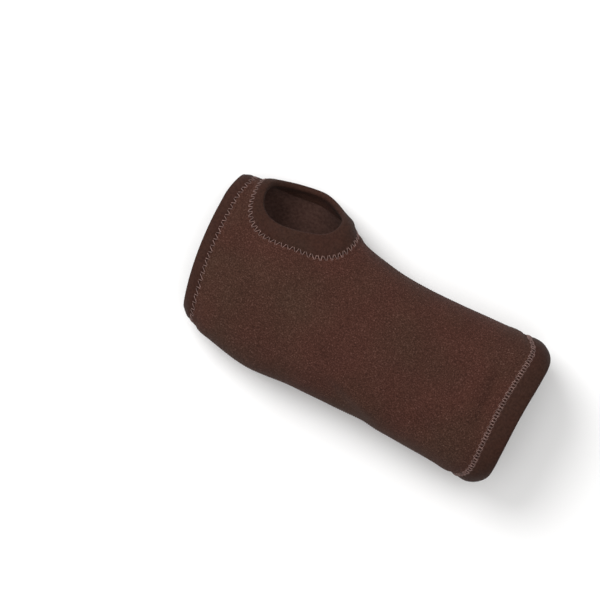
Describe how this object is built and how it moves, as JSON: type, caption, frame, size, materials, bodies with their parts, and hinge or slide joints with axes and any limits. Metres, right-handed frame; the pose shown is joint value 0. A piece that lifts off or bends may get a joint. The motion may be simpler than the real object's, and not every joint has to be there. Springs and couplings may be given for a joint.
{
  "type": "wrist splint",
  "caption": "Pull-on fabric wrist splint for the right hand: a lined sleeve with bound finger, thumb and forearm openings, stiffened by removable stays in inner pockets.",
  "frame": {"origin": "centre of the sleeve's bounding box, on the surface that its dorsal side rests on", "axes": "+X along the sleeve from the fingers to the forearm, +Y to the thumb side, +Z to the palm side, which faces up"},
  "size_m": [0.1867, 0.098, 0.0559],
  "materials": {
    "cover": "dark brown heather knit, matt",
    "band": "smooth dark brown stretch binding",
    "lining": "thin brown jersey",
    "thread": "mauve-brown polyester sewing thread",
    "palmar_stay": "soft rolled strip, satin",
    "dorsal_stay": "flat spring steel",
    "tip": "dipped plastic"
  },
  "bodies": {
    "root": {"palmar_cover": "cover", "dorsal_cover": "cover", "finger_band": "band", "thumb_band": "band", "forearm_band": "band", "palmar_lining": "lining", "dorsal_lining": "lining", "palmar_stay_pocket": "lining", "dorsal_stay_radial_pocket": "lining", "dorsal_stay_ulnar_pocket": "lining", "finger_stitching": "thread", "thumb_stitching": "thread", "forearm_stitching": "thread", "radial_seam": "thread", "ulnar_seam": "thread", "web_seam": "thread"},
    "palmar_stay": {"palmar_stay": "palmar_stay", "palmar_stay_finger_tip": "tip", "palmar_stay_forearm_tip": "tip"},
    "dorsal_stay_radial": {"dorsal_stay_radial": "dorsal_stay", "dorsal_stay_radial_finger_tip": "tip", "dorsal_stay_radial_forearm_tip": "tip"},
    "dorsal_stay_ulnar": {"dorsal_stay_ulnar": "dorsal_stay", "dorsal_stay_ulnar_finger_tip": "tip", "dorsal_stay_ulnar_forearm_tip": "tip"}
  },
  "joints": [
    {"name": "palmar_stay_slide", "type": "hinge", "parent": "root", "child": "palmar_stay", "pos_m": [0.0955, -0.0071, -0.844], "axis": [0, 1, 0], "range_deg": [0, 10.5]},
    {"name": "dorsal_stay_radial_slide", "type": "slide", "parent": "root", "child": "dorsal_stay_radial", "axis": [1, 0, 0], "range_m": [0, 0.135]},
    {"name": "dorsal_stay_ulnar_slide", "type": "slide", "parent": "root", "child": "dorsal_stay_ulnar", "axis": [1, 0, 0], "range_m": [0, 0.135]}
  ]
}
